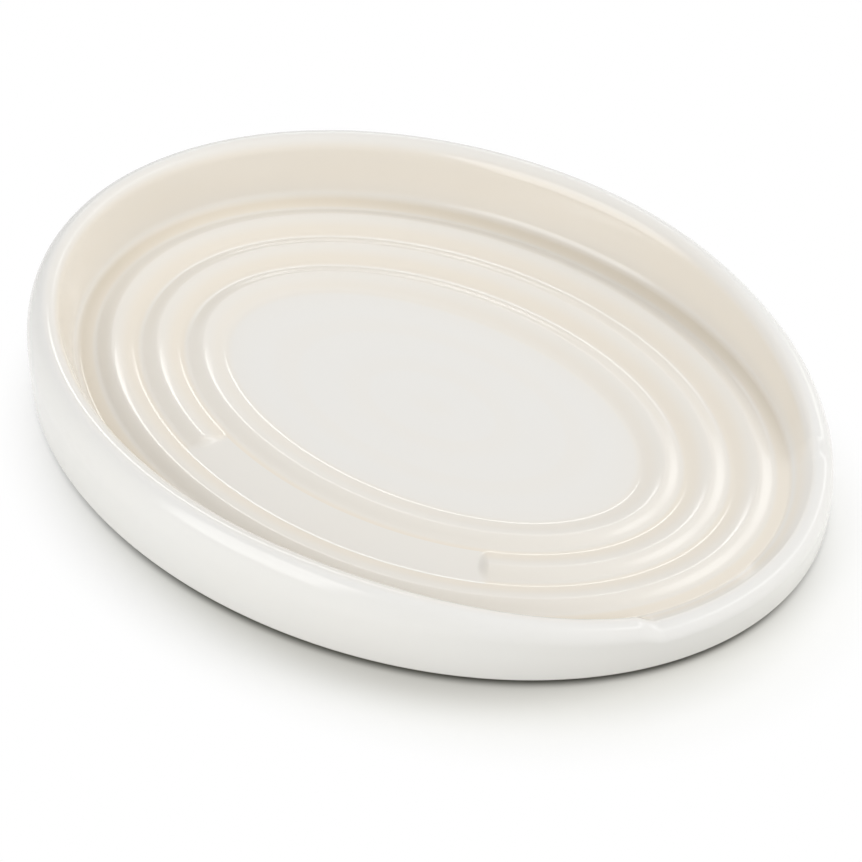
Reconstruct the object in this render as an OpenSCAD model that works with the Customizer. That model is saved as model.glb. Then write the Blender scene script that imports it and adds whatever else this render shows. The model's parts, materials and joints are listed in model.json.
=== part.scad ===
// Oval spoon rest in glazed stoneware: a shallow dish with three raised rings in its well,
// a round rim that falls toward the handle end, and a low lip there that carries the handle.

/* [Dish] */
// Overall length, from the closed end to the handle end
dish_length = 156; // [140:1:170]
// Overall width
dish_width = 118.6; // [114:0.2:130]
// Height of the rim at the closed end
rim_height = 17.5; // [16.5:0.1:22]
// Height of the well's flat floor above the table
floor_height = 6.9; // [5:0.1:7.6]

/* [Rim] */
// Distance of the rim's crest from the outside of the wall
crest_inset = 3.4; // [2.4:0.1:4.4]
// Radius of the crest on its inner side
crest_radius = 2.3; // [1.4:0.1:3]
// Height of the widest part of the wall
belly_height = 10.7; // [9:0.1:12]
// How far the wall draws in from its widest part down to its base
wall_tuck = 0.4; // [0:0.1:1.5]
// Radius of the edge between the wall and the underside
base_radius = 1.1; // [0.8:0.1:3]
// Where the rim starts to fall, from the middle toward the handle end
fall_start = 2.5; // [0:0.5:20]
// How far the rim would fall by the very end of the oval
fall_depth = 9.1; // [6:0.1:10]

/* [Handle lip] */
// Height of the lip that carries the handle
lip_height = 9; // [8:0.1:10]
// Half of the lip's spread round the oval, in degrees of its sweep
lip_spread = 29; // [20:1:34]
// Sweep of the rounded step from lip to rim, in degrees
step_sweep = 4.5; // [3:0.5:8]

/* [Well] */
// Distance of the foot of the inner wall from the outside of the wall, at the two sides
wall_foot_inset = 10.2; // [9.4:0.1:11.6]
// The same distance at the two ends
wall_foot_end_inset = 8.7; // [8:0.1:10.2]
// Radius between the inner wall and the floor
wall_foot_radius = 2.2; // [1.2:0.1:3]
// How far the well is set toward the handle end
well_shift = 1.1; // [0:0.1:2]

/* [Rings] */
// Number of raised rings
ring_count = 3; // [1:1:3]
// Distance of the first ring from the outside of the wall, at the two sides
ring_inset = 12.6; // [11.8:0.1:13.5]
// Width of a ring
ring_width = 6.9; // [5.5:0.1:7.4]
// Height of a ring above the floor
ring_height = 1.1; // [0.8:0.1:1.8]
// Width of the flat groove between two rings
ring_gap = 1.1; // [0.8:0.1:2.4]
// The ring that is left open along the front, counted from the rim
open_ring = 2; // [1:1:3]
// Sweep at which the open ring stops
open_from = 239; // [225:1:250]
// Sweep at which the open ring starts again
open_to = 306; // [290:1:315]
// Length of the open ring's rounded ends
ring_end = 2; // [1.2:0.1:3.5]

/* [Foot] */
// Distance of the foot ring from the outside of the wall
foot_inset = 7; // [5:0.5:12]
// Width of the foot ring
foot_width = 4.5; // [3:0.5:8]
// Bevel on both edges of the foot ring
foot_bevel = 0.4; // [0.2:0.1:0.6]
// Gap between the table and the underside outside the foot ring
shoulder_gap = 0.8; // [0.7:0.1:1.4]
// Depth of the recess inside the foot ring
recess_depth = 1.6; // [1:0.1:2.2]

/* [Glaze] */
// Thickness of the glaze
glaze = 0.4; // [0.2:0.05:0.6]

/* [Hidden] */

half_length = dish_length / 2;
half_width = dish_width / 2;
foot_inner_inset = foot_inset + foot_width;
base_side_height = shoulder_gap + base_radius;

// Share of a low rim's height that lies below its widest part
belly_share = 0.75;

// Where a ring's crest lies, as a share of its width from its outer foot
ring_crest_share = 0.4;
// Share of a half wave that a ring's flank shows above the floor
ring_wave_share = 0.88;
// Spacing of the rings at the two ends, as a share of that at the two sides
end_spacing_share = 1.07;

ring_outer_half = ring_width * ring_crest_share;
ring_inner_half = ring_width - ring_outer_half;
ring_pitch = ring_width + ring_gap;
open_ring_inset = ring_inset + ring_outer_half + (open_ring - 1) * ring_pitch;

// Points on each stretch of the section, and on each flank of a ring
base_steps = 3;
crest_steps = 4;
bend_steps = 3;
foot_steps = 3;
ring_steps = 3;

// Sweep stations: one at each end and side of the oval, close together on the two steps of the lip
// and on the two ends of the open ring
step_from = lip_spread - step_sweep / 2;
step_to = lip_spread + step_sweep / 2;
nose_from = ring_end / pace(open_from, open_ring_inset);
nose_to = ring_end / pace(open_to, open_ring_inset);
stretches = [
    [0, step_from, 4],
    [step_from, step_to, 4],
    [step_to, 90, 8],
    [90, 180, 12],
    [180, open_from, 8],
    [open_from, open_from + nose_from, 3],
    [open_from + nose_from, 270, 3],
    [270, open_to - nose_to, 3],
    [open_to - nose_to, open_to, 3],
    [open_to, 360 - step_to, 4],
    [360 - step_to, 360 - step_from, 4],
    [360 - step_from, 360, 4]
];
stations = [
    for (s = stretches)
        for (i = [0 : s[2] - 1])
            s[0] + (s[1] - s[0]) * i / s[2]
];

function smooth(u) = let (c = min(1, max(0, u))) c * c * (3 - 2 * c);

// How much further than an even inset the well's ovals reach toward the two ends
function end_reach(inset) =
    wall_foot_inset - wall_foot_end_inset - (end_spacing_share - 1) * (inset - wall_foot_inset);

// A point of the dish: sweep angle, then [inset from the oval, height, share of the well's own oval]
function spot(a, p) = [
    (half_length - p[0] + p[2] * end_reach(p[0])) * cos(a) + p[2] * well_shift,
    (half_width - p[0]) * sin(a),
    p[1]
];

// Distance travelled along an oval of the well for one degree of sweep
function pace(a, inset) = norm(spot(a + 1, [inset, 0, 1]) - spot(a, [inset, 0, 1]));

// Height of the crest: level, then falling to the handle end, with the lip cut into it
function crest_height(a) =
    let (
        along = half_length * cos(a),
        fall = max(0, (along - fall_start) / (half_length - fall_start)),
        rim = rim_height - fall_depth * fall ^ 2,
        sweep = min(a, 360 - a),
        to_rim = smooth((sweep - step_from) / step_sweep)
    )
    lip_height + (rim - lip_height) * to_rim;

// The inner wall runs from the oval of the rim at its crest to the oval of the well at its foot
function on_wall(inset, height) =
    [inset, height, min(1, max(0, (inset - crest_inset) / (wall_foot_inset - crest_inset)))];

// Rounded edge under the wall, then the wall up to its widest part
function outer_wall(belly, depth) = concat(
    [[foot_inset, shoulder_gap + depth, 0]],
    [
        for (i = [0 : base_steps])
            let (q = 90 * i / base_steps, r = base_radius - depth)
            [wall_tuck + base_radius - r * sin(q), base_side_height - r * cos(q), 0]
    ],
    [[depth, belly, 0]]
);

// Crest of the rim: a quarter oval outside, a round bend inside that runs into the wall
function rim_top(top, belly, lean, depth) = concat(
    [
        for (i = [1 : crest_steps])
            let (q = 90 * i / crest_steps)
            [
                crest_inset - (crest_inset - depth) * cos(q),
                belly + (top - belly - depth) * sin(q),
                0
            ]
    ],
    [
        for (i = [1 : bend_steps])
            let (q = lean * i / bend_steps, r = crest_radius - depth)
            on_wall(crest_inset + r * sin(q), top - crest_radius + r * cos(q))
    ]
);

// Hollow bend at the foot of the inner wall
function wall_foot(lean, depth) = [
    for (i = [foot_steps : -1 : 0])
        let (q = lean * i / foot_steps, r = wall_foot_radius + depth)
        on_wall(wall_foot_inset - r * sin(q), floor_height + wall_foot_radius - r * cos(q))
];

// Slope of the straight part of the inner wall, touching the bends above and below it
function wall_lean(top) =
    let (
        across = wall_foot_inset - crest_inset,
        rise = floor_height + wall_foot_radius - top + crest_radius
    )
    asin((crest_radius + wall_foot_radius) / norm([across, rise])) - atan2(rise, across);

// How far a station lies past an end of the open ring
function past_end(a) =
    let (
        from_end = (a - open_from) * pace(open_from, open_ring_inset),
        to_end = (open_to - a) * pace(open_to, open_ring_inset)
    )
    max(0, min(from_end, to_end));

// Height of a ring over the floor, from its crest at 0 to its foot at 1: a wave with a soft foot
function swell(u) =
    let (foot_turn = 180 * ring_wave_share)
    u >= 1 ? 0 : ring_height * (cos(foot_turn * u) - cos(foot_turn)) / (1 - cos(foot_turn));

// Section of one ring, steeper on its outer flank, whose open ends are round in plan
function ring(index, a, depth) =
    let (
        crest = ring_inset + ring_outer_half + index * ring_pitch,
        past = index == open_ring - 1 ? past_end(a) / ring_end : 0
    )
    [
        for (i = [-ring_steps : ring_steps])
            let (
                across = i / ring_steps,
                flank = i < 0 ? ring_outer_half : ring_inner_half
            )
            [crest + across * flank, floor_height - depth + swell(norm([across, past])), 1]
    ];

// Whole section at one station, a given depth below the glazed surface, from foot to floor
function section(a, depth) =
    let (
        top = crest_height(a),
        belly = min(belly_height, belly_share * top),
        lean = wall_lean(top)
    )
    concat(
        outer_wall(belly, depth),
        rim_top(top, belly, lean, depth),
        wall_foot(lean, depth),
        [for (index = [0 : ring_count - 1]) each ring(index, a, depth)]
    );

// The foot ring from the roof of the recess to its outer edge
foot_section = [
    [foot_inner_inset, recess_depth + glaze, 0],
    [foot_inner_inset, foot_bevel, 0],
    [foot_inner_inset - foot_bevel, 0, 0],
    [foot_inset + foot_bevel, 0, 0],
    [foot_inset, foot_bevel, 0]
];

// All points of a swept surface, one row of section points after the other
function swept(rows) = [for (i = [0 : len(rows) - 1]) for (p = rows[i]) spot(stations[i], p)];

function glazed_rows(depth) = [for (a = stations) section(a, depth)];

// Faces between the stations: column c of each row joins column c + 1, facing up and out
function skin_faces(size, start, flip) = [
    for (i = [0 : len(stations) - 1])
        for (c = [0 : size - 2])
            let (
                j = (i + 1) % len(stations),
                low = start + i * size + c,
                next = start + j * size + c
            )
            each flip
                ? [[low, low + 1, next + 1], [low, next + 1, next]]
                : [[low, next + 1, low + 1], [low, next, next + 1]]
];

// Fan that closes one column of a swept surface at a middle point
function fan_faces(size, start, column, middle, flip) = [
    for (i = [0 : len(stations) - 1])
        let (
            j = (i + 1) % len(stations),
            here = start + i * size + column,
            next = start + j * size + column
        )
        flip ? [here, middle, next] : [here, next, middle]
];

// Narrow edge of the glaze where it stops at the foot ring
function edge_faces(size, count) = [
    for (i = [0 : len(stations) - 1])
        let (
            j = (i + 1) % len(stations),
            here = i * size,
            next = j * size
        )
        each [[here, count + here, next], [next, count + here, count + next]]
];

// Fired clay: the dish with its foot ring, bare only where it stands
module stoneware_body() {
    rows = [for (a = stations) concat(foot_section, section(a, glaze))];
    size = len(rows[0]);
    points = swept(rows);
    roof_middle = [0, 0, recess_depth + glaze];
    floor_middle = [well_shift, 0, floor_height - glaze];
    color("wheat")
        polyhedron(
            points = concat(points, [roof_middle, floor_middle]),
            faces = concat(
                skin_faces(size, 0, false),
                fan_faces(size, 0, 0, len(points), true),
                fan_faces(size, 0, size - 1, len(points) + 1, false)
            )
        );
}

// Glaze over the well, the rim and the wall, down to the foot ring
module top_glaze() {
    outer_rows = glazed_rows(0);
    inner_rows = glazed_rows(glaze);
    size = len(outer_rows[0]);
    count = size * len(stations);
    color("ivory")
        polyhedron(
            points = concat(
                swept(outer_rows),
                swept(inner_rows),
                [[well_shift, 0, floor_height], [well_shift, 0, floor_height - glaze]]
            ),
            faces = concat(
                skin_faces(size, 0, false),
                skin_faces(size, count, true),
                fan_faces(size, 0, size - 1, 2 * count, false),
                fan_faces(size, count, size - 1, 2 * count + 1, true),
                edge_faces(size, count)
            )
        );
}

// Glaze on the underside, inside the foot ring
module underside_glaze() {
    color("floralwhite")
        translate([0, 0, recess_depth])
            linear_extrude(height = glaze)
                polygon([
                    for (a = stations)
                        let (p = spot(a, [foot_inner_inset, 0, 0]))
                        [p[0], p[1]]
                ]);
}

stoneware_body();
top_glaze();
underside_glaze();
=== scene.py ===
# Oval spoon rest: a pressed stoneware dish with a cream-white glaze over all but its foot ring.
# The looks are built in the order of the making: the clay, the coat on top, the coat underneath.
import json
import math

import bpy
import numpy as np
from mathutils import Matrix, Vector


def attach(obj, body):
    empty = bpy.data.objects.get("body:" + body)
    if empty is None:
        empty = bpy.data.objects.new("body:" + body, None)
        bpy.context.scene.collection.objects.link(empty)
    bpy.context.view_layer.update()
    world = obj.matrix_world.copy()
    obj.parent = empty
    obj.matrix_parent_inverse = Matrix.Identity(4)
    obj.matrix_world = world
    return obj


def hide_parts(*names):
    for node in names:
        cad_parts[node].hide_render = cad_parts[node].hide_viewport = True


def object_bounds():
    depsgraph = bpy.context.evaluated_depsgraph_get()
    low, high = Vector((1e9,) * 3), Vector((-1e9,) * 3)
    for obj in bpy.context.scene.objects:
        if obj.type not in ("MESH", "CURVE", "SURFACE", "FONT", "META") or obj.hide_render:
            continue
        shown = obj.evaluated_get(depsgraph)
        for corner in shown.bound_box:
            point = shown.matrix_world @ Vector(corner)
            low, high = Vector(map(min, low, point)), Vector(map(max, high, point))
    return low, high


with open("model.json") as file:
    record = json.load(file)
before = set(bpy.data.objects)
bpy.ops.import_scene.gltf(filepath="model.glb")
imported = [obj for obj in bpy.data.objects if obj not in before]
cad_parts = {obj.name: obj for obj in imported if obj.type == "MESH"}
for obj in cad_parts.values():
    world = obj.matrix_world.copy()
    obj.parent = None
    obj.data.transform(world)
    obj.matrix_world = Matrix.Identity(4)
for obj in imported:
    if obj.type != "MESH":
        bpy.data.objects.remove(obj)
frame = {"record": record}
cad_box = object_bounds()


# Stoneware body
# The dish itself, in pale fine-grained clay, pressed between two moulds and fired hard.
# Only its foot ring stays bare: it is wiped clean of glaze and rubbed flat, so that it stands dry.
MM = 0.001
lowest, highest = (Vector(corner) for corner in cad_box)
half_length = (highest.x - lowest.x) / 2
half_width = (highest.y - lowest.y) / 2
rim_height = highest.z
mounts = {mount["name"]: mount for mount in frame["record"]["mounts"]}
well_shift, _, floor_height = mounts["well_floor"]["pos_m"]
foot_middle = half_length + mounts["foot_ring"]["pos_m"][0]

# Wall and rim: insets run in from the outline, and sweeps run round from the handle end in degrees
full_turn = 360
crest_inset = 3.4 * MM
crest_radius = 3 * MM
belly_height = 10.7 * MM
belly_share = 0.75
wall_tuck = 0.4 * MM
base_radius = 1.1 * MM
fall_start = 2.5 * MM
fall_depth = 9.1 * MM
lip_height = 9 * MM
lip_spread = 29
step_sweep = 4.5
wall_foot_inset = 10.2 * MM
wall_foot_end_inset = 8.7 * MM
wall_foot_radius = 1.8 * MM

# Rings in the well: a short steep flank outside each crest, a longer one inside it, the middle ring open
ring_count = 3
ring_inset = 12.6 * MM
ring_width = 6.9 * MM
ring_height = 1.1 * MM
ring_gap = 1.1 * MM
ring_crest_share = 0.4
ring_wave_share = 0.88
ring_ridge_share = 0.6
ring_round_share = 0.05
ring_hollow = 0.43 * MM
end_spacing_share = 1.07
open_ring = 2
open_from = 239
open_to = 306
nose_sweep = 5
ring_end = 2 * MM

# Foot ring and coats
foot_width = 4.5 * MM
foot_edge = 0.4 * MM
shoulder_gap = 0.8 * MM
recess_depth = 1.6 * MM
glaze_depth = 0.4 * MM

foot_outer = foot_middle - foot_width / 2
foot_inner = foot_middle + foot_width / 2
recess_roof = recess_depth + glaze_depth
ring_pitch = ring_width + ring_gap
ring_outer_flank = ring_width * ring_crest_share
ring_inner_flank = ring_width - ring_outer_flank
ring_crests = [ring_inset + ring_outer_flank + ring_pitch * i for i in range(ring_count)]
step_from = lip_spread - step_sweep / 2
step_to = lip_spread + step_sweep / 2

# Cuts round the oval, closest together on the lip's steps and the open ring's ends
lip_cuts = 28
step_cuts = 24
back_cuts = 120
left_cuts = 44
nose_cuts = 36
open_cuts = 44
right_cuts = 20


def stretch(start, end, cuts):
    """Sweep angles from start up to the one before end."""
    return np.linspace(start, end, cuts, endpoint=False)


sweep = np.concatenate([
    stretch(0, step_from, lip_cuts),
    stretch(step_from, step_to, step_cuts),
    stretch(step_to, full_turn / 2, back_cuts),
    stretch(full_turn / 2, open_from - nose_sweep, left_cuts),
    stretch(open_from - nose_sweep, open_from + nose_sweep, nose_cuts),
    stretch(open_from + nose_sweep, open_to - nose_sweep, open_cuts),
    stretch(open_to - nose_sweep, open_to + nose_sweep, nose_cuts),
    stretch(open_to + nose_sweep, full_turn - step_to, right_cuts),
    stretch(full_turn - step_to, full_turn - step_from, step_cuts),
    stretch(full_turn - step_from, full_turn, lip_cuts),
])


def smooth(share):
    """Eases a share from 0 to 1, level at both ends and held outside them."""
    held = np.clip(share, 0, 1)
    return held * held * (3 - 2 * held)


def spots(angles, inset, height, share):
    """Points of the dish. The share says how far they follow the well's own, longer oval."""
    turn = np.radians(angles)
    longer = wall_foot_inset - wall_foot_end_inset - (end_spacing_share - 1) * (inset - wall_foot_inset)
    x = (half_length - inset + share * longer) * np.cos(turn) + share * well_shift
    y = (half_width - inset) * np.sin(turn)
    return np.stack(np.broadcast_arrays(x, y, height), axis=-1)


def crest_heights(angles):
    """The rim is level, then falls toward the handle end, where the lip is cut into it."""
    along = half_length * np.cos(np.radians(angles))
    fall = np.maximum(0, (along - fall_start) / (half_length - fall_start))
    rim = rim_height - fall_depth * fall ** 2
    from_end = np.minimum(angles, full_turn - angles)
    return lip_height + (rim - lip_height) * smooth((from_end - step_from) / step_sweep)


def past_ring_end(angles):
    """How far each sweep angle lies past the nearer end of the open ring, and 0 along the ring."""
    crest = ring_crests[open_ring - 1]

    def pace(angle):
        """Length of the ring's crest per degree of sweep."""
        pair = spots(np.array([angle, angle + 1]), crest, 0, 1)
        return np.linalg.norm(pair[1] - pair[0])

    gone = np.minimum((angles - open_from) * pace(open_from), (open_to - angles) * pace(open_to))
    return np.maximum(0, gone)


def swell(share, flank):
    """Height of a ring over the floor, by the share of its flank that lies between a spot and the crest.

    It is part wave and part ridge with a round crest, and its foot meets the floor in a round hollow.
    """
    inside = np.minimum(share, 1)
    foot_turn = math.pi * ring_wave_share
    wave_scale = ring_height / (1 - math.cos(foot_turn))
    wave = wave_scale * (np.cos(foot_turn * inside) - math.cos(foot_turn))
    wave_slope = wave_scale * foot_turn * math.sin(foot_turn)
    foot_reach = math.hypot(1, ring_round_share)
    ridge_scale = ring_height / (foot_reach - ring_round_share)
    ridge = ridge_scale * (foot_reach - np.hypot(inside, ring_round_share))
    height = wave + ring_ridge_share * (ridge - wave)
    slope = wave_slope + ring_ridge_share * (ridge_scale / foot_reach - wave_slope)
    height = height - slope * np.maximum(share - 1, 0)
    sag = slope * ring_hollow / flank
    return np.maximum(height, 0) + np.maximum(sag - np.abs(height), 0) ** 2 / (4 * sag)


quarter = math.pi / 2


def onward(start, end, cuts):
    """Even values after start, up to and with end."""
    return np.linspace(start, end, cuts + 1)[1:]


# Cuts along the section, from the base edge over the rim to the flat, at full fineness
least_cuts = 2
base_cuts = 10
side_cuts = 14
shoulder_cuts = 22
crest_cuts = 14
wall_cuts = 12
wall_foot_cuts = 14
ring_crest_cuts = 6
ring_flank_cuts = 12
ring_foot_cuts = 9

# The fine cuts at a ring's crest and foot reach out this many times its round and its hollow
ring_crest_reach = 3
ring_foot_reach = 1.1


def coat_section(angles, depth, fineness):
    """Columns of (inset, height, share) from the foot ring over the rim to the flat of the well.

    They lie at this depth under the face of the glaze, and fineness is a share of the full cuts.
    """
    top = crest_heights(angles)
    belly = np.minimum(belly_height, belly_share * top)
    columns = []

    def add(inset, height, share=0.0):
        columns.append(np.broadcast_arrays(inset, height, share, top)[:3])

    def add_inside(inset, height):
        add(inset, height, np.clip((inset - crest_inset) / (wall_foot_inset - crest_inset), 0, 1))

    def cuts(count):
        return max(least_cuts, round(count * fineness))

    # Base edge, outer wall and shoulder
    base_top = shoulder_gap + base_radius
    bend = base_radius - depth
    add(foot_outer - glaze_depth + depth, shoulder_gap + depth)
    for turn in np.append(0, onward(0, quarter, cuts(base_cuts))):
        add(wall_tuck + base_radius - bend * math.sin(turn), base_top - bend * math.cos(turn))
    for share in onward(0, 1, cuts(side_cuts)):
        add(depth + wall_tuck * (1 - share) ** 2, base_top + (belly - base_top) * share)
    for turn in onward(0, quarter, cuts(shoulder_cuts)):
        inset = crest_inset - (crest_inset - depth) * math.cos(turn)
        add(inset, belly + (top - belly - depth) * math.sin(turn))

    # Crest, inner wall and the bend at its foot
    across = wall_foot_inset - crest_inset
    crest_middle = top - crest_radius
    bend_middle = floor_height + wall_foot_radius
    rise = bend_middle - crest_middle
    lean = np.arcsin((crest_radius + wall_foot_radius) / np.hypot(across, rise)) - np.arctan2(rise, across)
    bend = crest_radius - depth
    hollow = wall_foot_radius + depth
    for share in onward(0, 1, cuts(crest_cuts)):
        add_inside(crest_inset + bend * np.sin(lean * share), crest_middle + bend * np.cos(lean * share))
    wall_start = crest_inset + bend * np.sin(lean)
    wall_end = wall_foot_inset - hollow * np.sin(lean)
    start_height = crest_middle + bend * np.cos(lean)
    end_height = bend_middle - hollow * np.cos(lean)
    for share in onward(0, 1, cuts(wall_cuts)):
        inset = wall_start + (wall_end - wall_start) * share
        add_inside(inset, start_height + (end_height - start_height) * share)
    for share in 1 - onward(0, 1, cuts(wall_foot_cuts)):
        inset = wall_foot_inset - hollow * np.sin(lean * share)
        add_inside(inset, bend_middle - hollow * np.cos(lean * share))

    # Rings, each from its outer foot over the crest to its inner foot
    past = past_ring_end(angles) / ring_end
    round_to = ring_crest_reach * ring_round_share
    for index, crest in enumerate(ring_crests):
        for side, flank in ((-1, ring_outer_flank), (1, ring_inner_flank)):
            foot_from = 1 - ring_hollow / flank
            foot_to = 1 + ring_foot_reach * ring_hollow / flank
            shares = np.concatenate([
                [0],
                onward(0, round_to, cuts(ring_crest_cuts)),
                onward(round_to, foot_from, cuts(ring_flank_cuts)),
                onward(foot_from, foot_to, cuts(ring_foot_cuts)),
            ])
            for from_crest in shares[:0:-1] if side < 0 else shares:
                away = np.hypot(from_crest, past) if index == open_ring - 1 else from_crest
                add(crest + side * from_crest * flank, floor_height - depth + swell(away, flank), 1.0)
    return columns


# Extra loops of points on each flat, by their share of the way from its edge to its middle
flat_shares = np.array([0.3, 0.6, 0.85])[:, None]


def with_flats(rows, under_middle, upper_middle):
    """The rows with more points at both ends, on the way to the two middles."""
    under, upper = rows[:, :1], rows[:, -1:]
    return np.concatenate([
        (under + (under_middle - under) * flat_shares)[:, ::-1],
        rows,
        upper + (upper_middle - upper) * flat_shares,
    ], axis=1)


def put(name, data):
    """A new object in the scene."""
    made = bpy.data.objects.new(name, data)
    bpy.context.scene.collection.objects.link(made)
    return made


def oval_shell(name, columns, under_middle, upper_middle):
    """Closed mesh: the columns swept round the oval, each end drawn together at a middle point."""
    rows = np.stack([spots(sweep, *column) for column in columns], axis=1)
    rows = with_flats(rows, np.array(under_middle), np.array(upper_middle))
    count, size = rows.shape[:2]
    here = np.arange(count)[:, None] * size + np.arange(size - 1)
    there = np.roll(here, -1, axis=0)
    quads = np.stack([here, there, there + 1, here + 1], axis=-1).reshape(-1, 4).tolist()
    first = np.arange(count) * size
    after_first = np.roll(first, -1)
    last = first + size - 1
    after_last = after_first + size - 1
    under_point = count * size
    upper_point = under_point + 1
    fans = [[under_point, b, a] for a, b in zip(first.tolist(), after_first.tolist())]
    fans += [[upper_point, a, b] for a, b in zip(last.tolist(), after_last.tolist())]
    points = rows.reshape(-1, 3).tolist() + [list(under_middle), list(upper_middle)]
    mesh = bpy.data.meshes.new(name)
    mesh.from_pydata(points, [], quads + fans)
    mesh.shade_smooth()
    return put(name, mesh)


body_fineness = 0.4
edge_points = 6
edge_turns = np.linspace(0, quarter, edge_points)
foot_columns = [(foot_inner, recess_roof, 0.0)]
for corner, side, turns in ((foot_inner, -1, edge_turns), (foot_outer, 1, edge_turns[::-1])):
    for turn in turns:
        edge_inset = corner + side * foot_edge * (1 - math.cos(turn))
        foot_columns.append((edge_inset, foot_edge * (1 - math.sin(turn)), 0.0))
stoneware_body = oval_shell(
    "fired_clay_dish",
    foot_columns + coat_section(sweep, glaze_depth, body_fineness),
    under_middle=(0, 0, recess_roof),
    upper_middle=(well_shift, 0, floor_height - glaze_depth),
)


class Shade:
    """A socket in one material. Sums with it add Math nodes, and node() adds any other node."""

    def __init__(self, tree, socket=None):
        self.tree = tree
        self.socket = socket

    def node(self, kind, settings=(), sockets=(), output=0):
        """Adds a node with these settings and these values or links, and wraps one of its outputs."""
        made = self.tree.nodes.new("ShaderNode" + kind)
        for name, setting in dict(settings).items():
            setattr(made, name, setting)
        for name, value in dict(sockets).items():
            if isinstance(value, Shade):
                self.tree.links.new(value.socket, made.inputs[name])
            else:
                made.inputs[name].default_value = value
        return Shade(self.tree, made.outputs[output] if made.outputs else None)

    def math(self, operation, *terms):
        return self.node("Math", {"operation": operation}, enumerate(terms))

    def __add__(self, other):
        return self.math("ADD", self, other)

    def __radd__(self, other):
        return self.math("ADD", other, self)

    def __sub__(self, other):
        return self.math("SUBTRACT", self, other)

    def __rsub__(self, other):
        return self.math("SUBTRACT", other, self)

    def __mul__(self, other):
        return self.math("MULTIPLY", self, other)

    def __rmul__(self, other):
        return self.math("MULTIPLY", other, self)

    def share(self, low, high):
        """0 at low, 1 at high, smooth between and held outside."""
        limits = {"Value": self, "From Min": low, "From Max": high}
        return self.node("MapRange", {"interpolation_type": "SMOOTHSTEP"}, limits)

    def blend(self, first, second):
        """The first colour where this is 0, the second where it is 1."""
        first, second = (c if isinstance(c, Shade) else (*c, 1) for c in (first, second))
        # A Mix node's colours are its inputs 6 and 7 and its output 2
        return self.node("Mix", {"data_type": "RGBA"}, {"Factor": self, 6: first, 7: second}, output=2)


def new_material(name):
    """An empty material, and a Shade to start its nodes from."""
    material = bpy.data.materials.new(name)
    material.use_nodes = True
    material.node_tree.nodes.clear()
    return material, Shade(material.node_tree)


def finish_material(start, surface):
    """Makes this surface the look of the material."""
    start.node("OutputMaterial", sockets={"Surface": surface})


def noise(start, place, size, detail, roughness=0.5):
    """Soft random patches of about this size, from 0 to 1."""
    return start.node("TexNoise", sockets={
        "Vector": place,
        "Scale": 1 / size,
        "Detail": detail,
        "Roughness": roughness,
    })


def linear(red, green, blue):
    """A colour as a screen shows it, 0 to 255, in the linear values that shaders take."""
    values = [part / 255 for part in (red, green, blue)]
    return tuple(v / 12.92 if v <= 0.04045 else ((v + 0.055) / 1.055) ** 2.4 for v in values)


# Bare clay: clouds of two tones, fine grain, dark specks, and a greyer, smoother face where it is rubbed
clay_pale = linear(226, 214, 194)
clay_warm = linear(206, 189, 163)
clay_speck = linear(128, 106, 82)
clay_rubbed = linear(196, 187, 172)
clay_cloud = 9 * MM
cloud_detail = 4.0
cloud_band = (0.35, 0.65)
clay_grain = 0.35 * MM
grain_detail = 6.0
grain_roughness = 0.6
grain_band = (0.4, 0.6)
grain_bump = 0.06 * MM
grain_bump_share = 0.5
speck_gap = 2.6 * MM
speck_band = (0.06, 0.12)
speck_share = 0.6
rubbed_heights = (0.05 * MM, 0.35 * MM)
rubbed_share = 0.5
rubbed_polish = 0.2
clay_roughness = 0.92
clay_ior = 1.5

bare_clay, clay = new_material("bare_stoneware")
place = clay.node("TexCoord", output="Object")
cloud = noise(clay, place, clay_cloud, cloud_detail)
grain = noise(clay, place, clay_grain, grain_detail, grain_roughness)
specks = clay.node("TexVoronoi", sockets={"Vector": place, "Scale": 1 / speck_gap, "Randomness": 1.0})
height_above = clay.node("SeparateXYZ", sockets={"Vector": place}, output="Z")
rubbed = 1 - height_above.share(*rubbed_heights)
clay_colour = cloud.share(*cloud_band).blend(clay_pale, clay_warm)
clay_colour = (rubbed * grain.share(*grain_band) * rubbed_share).blend(clay_colour, clay_rubbed)
clay_colour = ((1 - specks.share(*speck_band)) * speck_share).blend(clay_colour, clay_speck)
clay_bump = clay.node("Bump", sockets={
    "Height": grain,
    "Strength": grain_bump_share,
    "Distance": grain_bump,
})
finish_material(clay, clay.node("BsdfPrincipled", sockets={
    "Base Color": clay_colour,
    "Roughness": clay_roughness - rubbed_polish * rubbed,
    "IOR": clay_ior,
    "Normal": clay_bump,
}))
stoneware_body.data.materials.append(bare_clay)
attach(stoneware_body, "root")
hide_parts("stoneware_body")


# Top glaze
# The cream-white coat over the well, the rim and the wall, melted on in the kiln.
# It runs off crests and gathers in hollows, so it is thinner and whiter on the one, creamier in the other.
# The crease at the foot of the inner wall is also darkened with painted shade.
coat_fineness = 1.0
inner_skin = coat_section(sweep, glaze_depth, body_fineness)
outer_skin = coat_section(sweep, 0, coat_fineness)
bead = [
    (foot_outer - glaze_depth * (1 - math.cos(turn)), shoulder_gap + glaze_depth * (1 - math.sin(turn)), 0.0)
    for turn in edge_turns[1:-1]
]
coat_columns = inner_skin[::-1] + bead + outer_skin
top_glaze = oval_shell(
    "cream_top_coat",
    coat_columns,
    under_middle=(well_shift, 0, floor_height - glaze_depth),
    upper_middle=(well_shift, 0, floor_height),
)


def mark(piece, name, values, middle_value):
    """Stores one value for each point of a swept shell, for its material to read."""
    rows = np.stack([np.broadcast_to(value, sweep.shape) for value in values], axis=1)
    rows = with_flats(rows[..., None], middle_value, middle_value)
    layer = piece.data.attributes.new(name, "FLOAT", "POINT")
    layer.data.foreach_set("value", np.append(rows.ravel(), [middle_value, middle_value]).astype(np.float32))


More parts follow.
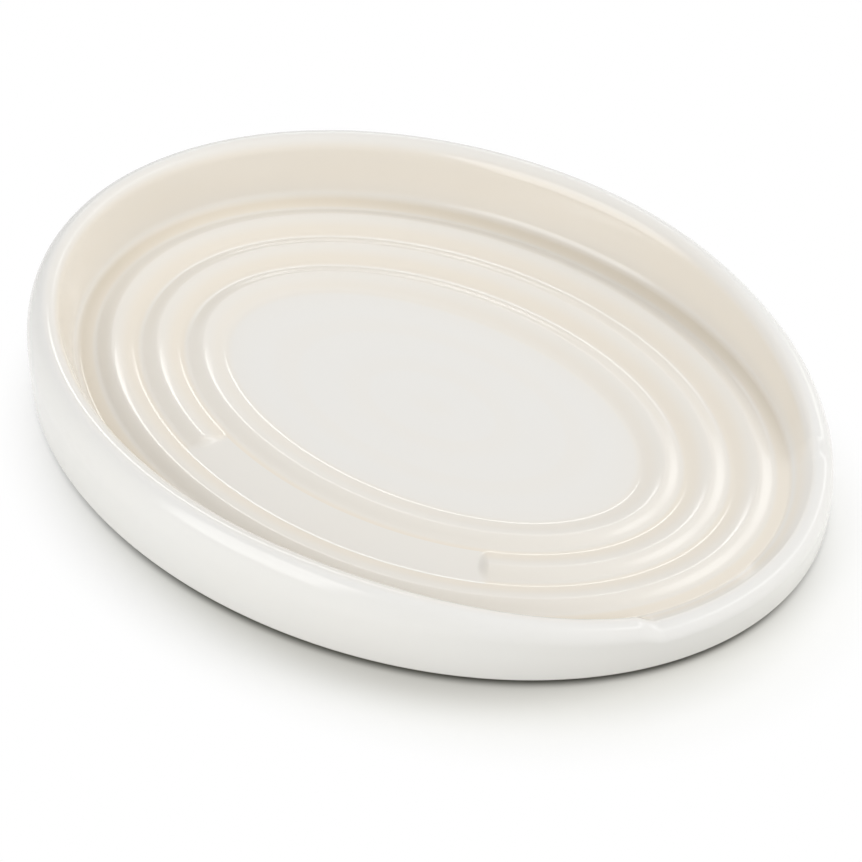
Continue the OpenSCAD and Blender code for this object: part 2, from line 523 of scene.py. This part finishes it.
crests = crest_heights(sweep)
unbroken = 1 - smooth(past_ring_end(sweep) / ring_end)
open_crest = ring_crests[open_ring - 1]
mark(top_glaze, "inset", [column[0] for column in coat_columns], half_width)
mark(top_glaze, "below_crest", [crests - column[1] for column in coat_columns], 0)
mark(top_glaze, "ring_here", [
    np.where(np.abs(column[0] - open_crest) < ring_pitch / 2, unbroken, 1.0) for column in coat_columns
], 1)

# Colours, and the sizes of the patches, waves and fine dimples in the melted coat
glaze_white = linear(230, 229, 226)
glaze_cream = linear(231, 222, 207)
# A darker, browner cream used as painted shade in the crease at the foot of the wall
painted_crease_shade_colour = linear(205, 190, 163)
glaze_mottle = 24 * MM
mottle_detail = 3.0
mottle_band = (0.3, 0.7)
glaze_wave = 7 * MM
wave_detail = 1.0
glaze_peel = 0.9 * MM
peel_detail = 2.0

# How creamy each place is, from 0 for white to 1 for cream, and how it runs into the next
wall_cream = 0.72
crest_cream_share = 0.35
crest_fade = 1 * MM
crest_drop = (0.1 * MM, 1.6 * MM)
well_cream = 0.28
well_fade = 3 * MM
ring_cream = 0.14
ring_side_cream = 0.4
ring_side_band = (0.42, 0.75)
ring_foot_band = (0.88, 1)
flat_white_share = 0.8
flat_fade_before = 6 * MM
flat_fade_after = 5 * MM
mottle_cream = 0.06
# Share and heights of the painted shade in the crease at the wall's foot
painted_crease_shade_share = 0.25
painted_crease_shade_drop = (2.4 * MM, 6 * MM)

# Gloss, and the slight waviness of a melted face
glaze_roughness = 0.06
mottle_roughness = 0.05
glaze_ior = 1.54
wave_bump = 0.03 * MM
wave_bump_share = 0.25
peel_share = 0.02

cream_glaze, coat = new_material("cream_glaze")
place = coat.node("TexCoord", output="Object")
inset = coat.node("Attribute", {"attribute_name": "inset"}, output="Fac")
below_crest = coat.node("Attribute", {"attribute_name": "below_crest"}, output="Fac")
ring_here = coat.node("Attribute", {"attribute_name": "ring_here"}, output="Fac")
mottle = noise(coat, place, glaze_mottle, mottle_detail)
wave = noise(coat, place, glaze_wave, wave_detail)
peel = noise(coat, place, glaze_peel, peel_detail)

flat_edge = ring_crests[-1] + ring_inner_flank
in_well = inset.share(wall_foot_inset - well_fade, wall_foot_inset)
off_crest = crest_cream_share + (1 - crest_cream_share) * below_crest.share(*crest_drop)
on_wall = inset.share(crest_inset - crest_fade, crest_inset + crest_fade) * off_crest
across_ring = coat.math("FRACT", (inset - ring_inset) * (1 / ring_pitch))
ring_side = across_ring.share(*ring_side_band) * (1 - across_ring.share(*ring_foot_band)) * ring_here
on_flat = inset.share(flat_edge - flat_fade_before, flat_edge + flat_fade_after)
on_rings = in_well * (well_cream + ring_cream * ring_here + ring_side_cream * ring_side)
in_hollow = on_rings * (1 - flat_white_share * on_flat)
cream = coat.math("MAXIMUM", wall_cream * on_wall * (1 - in_well), in_hollow)
# Painted shade: the crease between the wall's foot and the outer ring darkens toward brown, deepest under
# the high wall and gone at the lip
painted_crease_shade = in_well * (1 - inset.share(wall_foot_inset, ring_inset)) * below_crest.share(*painted_crease_shade_drop)
glaze_colour = (cream + mottle_cream * mottle.share(*mottle_band)).blend(glaze_white, glaze_cream)
glaze_colour = (painted_crease_shade_share * painted_crease_shade).blend(glaze_colour, painted_crease_shade_colour)
glaze_bump = coat.node("Bump", sockets={
    "Height": wave + peel_share * peel,
    "Strength": wave_bump_share,
    "Distance": wave_bump,
})
finish_material(coat, coat.node("BsdfPrincipled", sockets={
    "Base Color": glaze_colour,
    "Roughness": glaze_roughness + mottle_roughness * mottle,
    "IOR": glaze_ior,
    "Normal": glaze_bump,
}))
top_glaze.data.materials.append(cream_glaze)
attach(top_glaze, "root")
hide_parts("top_glaze")


# Underside glaze
# The same coat poured into the recess under the dish, where it levels out in firing.
# It climbs the inside of the foot ring in a small hollow, as any liquid does at a wall.
climb = 0.5 * MM
climb_points = 8
under_columns = [(foot_inner, recess_roof, 0.0)]
for turn in np.linspace(0, quarter, climb_points):
    climb_inset = foot_inner + climb * (1 - math.cos(turn))
    under_columns.append((climb_inset, recess_depth - climb * (1 - math.sin(turn)), 0.0))
underside_glaze = oval_shell(
    "cream_under_coat",
    under_columns[::-1],
    under_middle=(0, 0, recess_depth),
    upper_middle=(0, 0, recess_roof),
)
underside_glaze.data.materials.append(cream_glaze)
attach(underside_glaze, "root")
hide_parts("underside_glaze")


# Table
# A wide matt white sheet that the dish stands on, plain white further off. Painted shadow darkens its colour
# near the
# dish: darkest right under the wall, and a little darker toward the front, where the dish's shade lies.
table_half = 3.0
white_light = (1, 1, 1, 1)
painted_contact_shadow = linear(120, 119, 112)
painted_drop_shadow = linear(216, 215, 210)
paper_far = linear(241, 241, 237)

# Bands where one painted shadow tone runs into the next, in shares of the dish's outline, and how far that
# is moved
painted_contact_band = (0.96, 1.0)
painted_contact_lean = (0.3 * MM, -0.4 * MM, 0)
painted_shadow_band = (0.79, 1.0)
white_band = (0.82, 1.14)
painted_shadow_lean = (10 * MM, -9.6 * MM, 0)

table_mesh = bpy.data.meshes.new("white_table")
corners = [(-1, -1), (1, -1), (1, 1), (-1, 1)]
table_mesh.from_pydata([(x * table_half, y * table_half, 0) for x, y in corners], [], [(0, 1, 2, 3)])
white_table = put("white_table", table_mesh)

table_paper, paper = new_material("white_paper")
place = paper.node("TexCoord", output="Object")


def reach_from(lean):
    """How far out a spot lies, in shares of the dish's outline when that is moved by the lean."""
    leaned = paper.node("VectorMath", {"operation": "SUBTRACT"}, {0: place, 1: lean})
    across = paper.node("VectorMath", {"operation": "MULTIPLY"}, {
        0: leaned,
        1: (1 / half_length, 1 / half_width, 0),
    })
    return paper.node("VectorMath", {"operation": "LENGTH"}, {0: across}, output="Value")


def in_view(start):
    """1 for what the camera sees, by itself or by way of a shiny or clear surface, and 0 for light."""
    seen = start.node("LightPath", output="Is Camera Ray")
    for ray in ("Is Glossy Ray", "Is Transmission Ray"):
        seen = start.math("MAXIMUM", seen, start.node("LightPath", output=ray))
    return seen


shade_reach = reach_from(painted_shadow_lean)
plain_white = shade_reach.share(*white_band) * in_view(paper)
# Painted shadow: the sheet's colour darkens inside a leaned oval round the dish, and darker still right
# under its wall
tone = shade_reach.share(*painted_shadow_band).blend(painted_drop_shadow, paper_far)
tone = reach_from(painted_contact_lean).share(*painted_contact_band).blend(painted_contact_shadow, tone)
sheet = paper.node("BsdfDiffuse", sockets={"Color": tone})
glow = paper.node("Emission", sockets={"Color": white_light, "Strength": 1.0})
finish_material(paper, paper.node("MixShader", sockets={0: plain_white, 1: sheet, 2: glow}))
white_table.data.materials.append(table_paper)


# Studio light
# Soft lamps in a plain pale room that is lighter toward the handle end. The glaze mirrors two slanting
# banks and a strip behind the dish and a box at its left. A key and a fill beside them only light it.
room_level = 0.55
room_slant = (0.36, 0.05, 0)
box_distance = 1.1


def soft_box(name, bearing, rise, width, height, radiance, fade, roll=0, mirrored=True):
    """A flat lamp that faces the dish and fades toward its edges, placed by bearing and rise in degrees."""
    turn, lift = math.radians(bearing), math.radians(rise)
    toward = Vector((math.cos(lift) * math.cos(turn), math.cos(lift) * math.sin(turn), math.sin(lift)))
    lamp = bpy.data.lights.new(name, "AREA")
    lamp.shape = "RECTANGLE"
    lamp.size = width
    lamp.size_y = height
    lamp.energy = radiance * math.pi * width * height
    lamp.use_nodes = True
    lamp.node_tree.nodes.clear()
    cloth = Shade(lamp.node_tree)
    spot = cloth.node("NewGeometry", output="Parametric")
    level = 1.0
    for axis, band in zip("XY", fade):
        along = cloth.node("SeparateXYZ", sockets={"Vector": spot}, output=axis)
        level = level * along.share(0, band) * (1 - along.share(1 - band, 1))
    cloth_light = cloth.node("Emission", sockets={"Strength": level})
    cloth.node("OutputLight", sockets={"Surface": cloth_light})
    box = put(name, lamp)
    box.location = toward * box_distance
    facing = toward.to_track_quat("Z", "Y").to_matrix() @ Matrix.Rotation(math.radians(roll), 3, "Z")
    box.rotation_euler = facing.to_euler()
    box.visible_glossy = mirrored


bank_height = 0.26
side_box = {"width": 0.9, "height": 1.2, "fade": (0.2, 0.2)}
soft_box(
    "low_bank", bearing=76, rise=33, roll=-49,
    width=1.15, height=bank_height, radiance=1.9, fade=(0.45, 0.4),
)
soft_box(
    "high_bank", bearing=48, rise=58, roll=-54,
    width=1.0, height=bank_height, radiance=2.4, fade=(0.4, 0.4),
)
soft_box(
    "back_key", bearing=48, rise=36, mirrored=False,
    width=0.7, height=0.7, radiance=3.5, fade=(0.2, 0.2),
)
soft_box("left_soft_box", bearing=-113, rise=29, radiance=2.2, **side_box)
soft_box("left_fill", bearing=-109, rise=31, mirrored=False, radiance=0.7, **side_box)
soft_box("back_strip", bearing=123, rise=35, width=0.6, height=0.15, radiance=4.4, fade=(0.35, 0.2))

room = bpy.data.worlds.new("pale_room")
room.use_nodes = True
room.node_tree.nodes.clear()
air = Shade(room.node_tree)
seen = in_view(air)
way_out = air.node("TexCoord", output="Generated")
slant = air.node("VectorMath", {"operation": "DOT_PRODUCT"}, {0: way_out, 1: room_slant}, output="Value")
level = seen + (1 - seen) * (room_level + slant)
walls = air.node("Background", sockets={"Color": white_light, "Strength": level})
air.node("OutputWorld", sockets={"Surface": walls})
bpy.context.scene.world = room


# Camera
# A long lens looking down on the front of the dish, with the handle end to the right.
photo_side = 862
focal_pixels = 7757
sensor = 36
distance = 1.4
camera_turn = math.radians(34.705)
camera_lift = math.radians(42.668)
target = Vector((0.531 * MM, 0.508 * MM, 0))

back = Vector((
    math.sin(camera_turn) * math.cos(camera_lift),
    -math.cos(camera_turn) * math.cos(camera_lift),
    math.sin(camera_lift),
))
right = Vector((math.cos(camera_turn), math.sin(camera_turn), 0))
up = back.cross(right)
lens = bpy.data.cameras.new("studio_camera")
lens.sensor_width = sensor
lens.lens = focal_pixels / photo_side * sensor
camera = put("studio_camera", lens)
facing = Matrix((right, up, back)).transposed().to_4x4()
facing.translation = target + back * distance
camera.matrix_world = facing
bpy.context.scene.camera = camera
bpy.context.scene.view_settings.view_transform = "Standard"
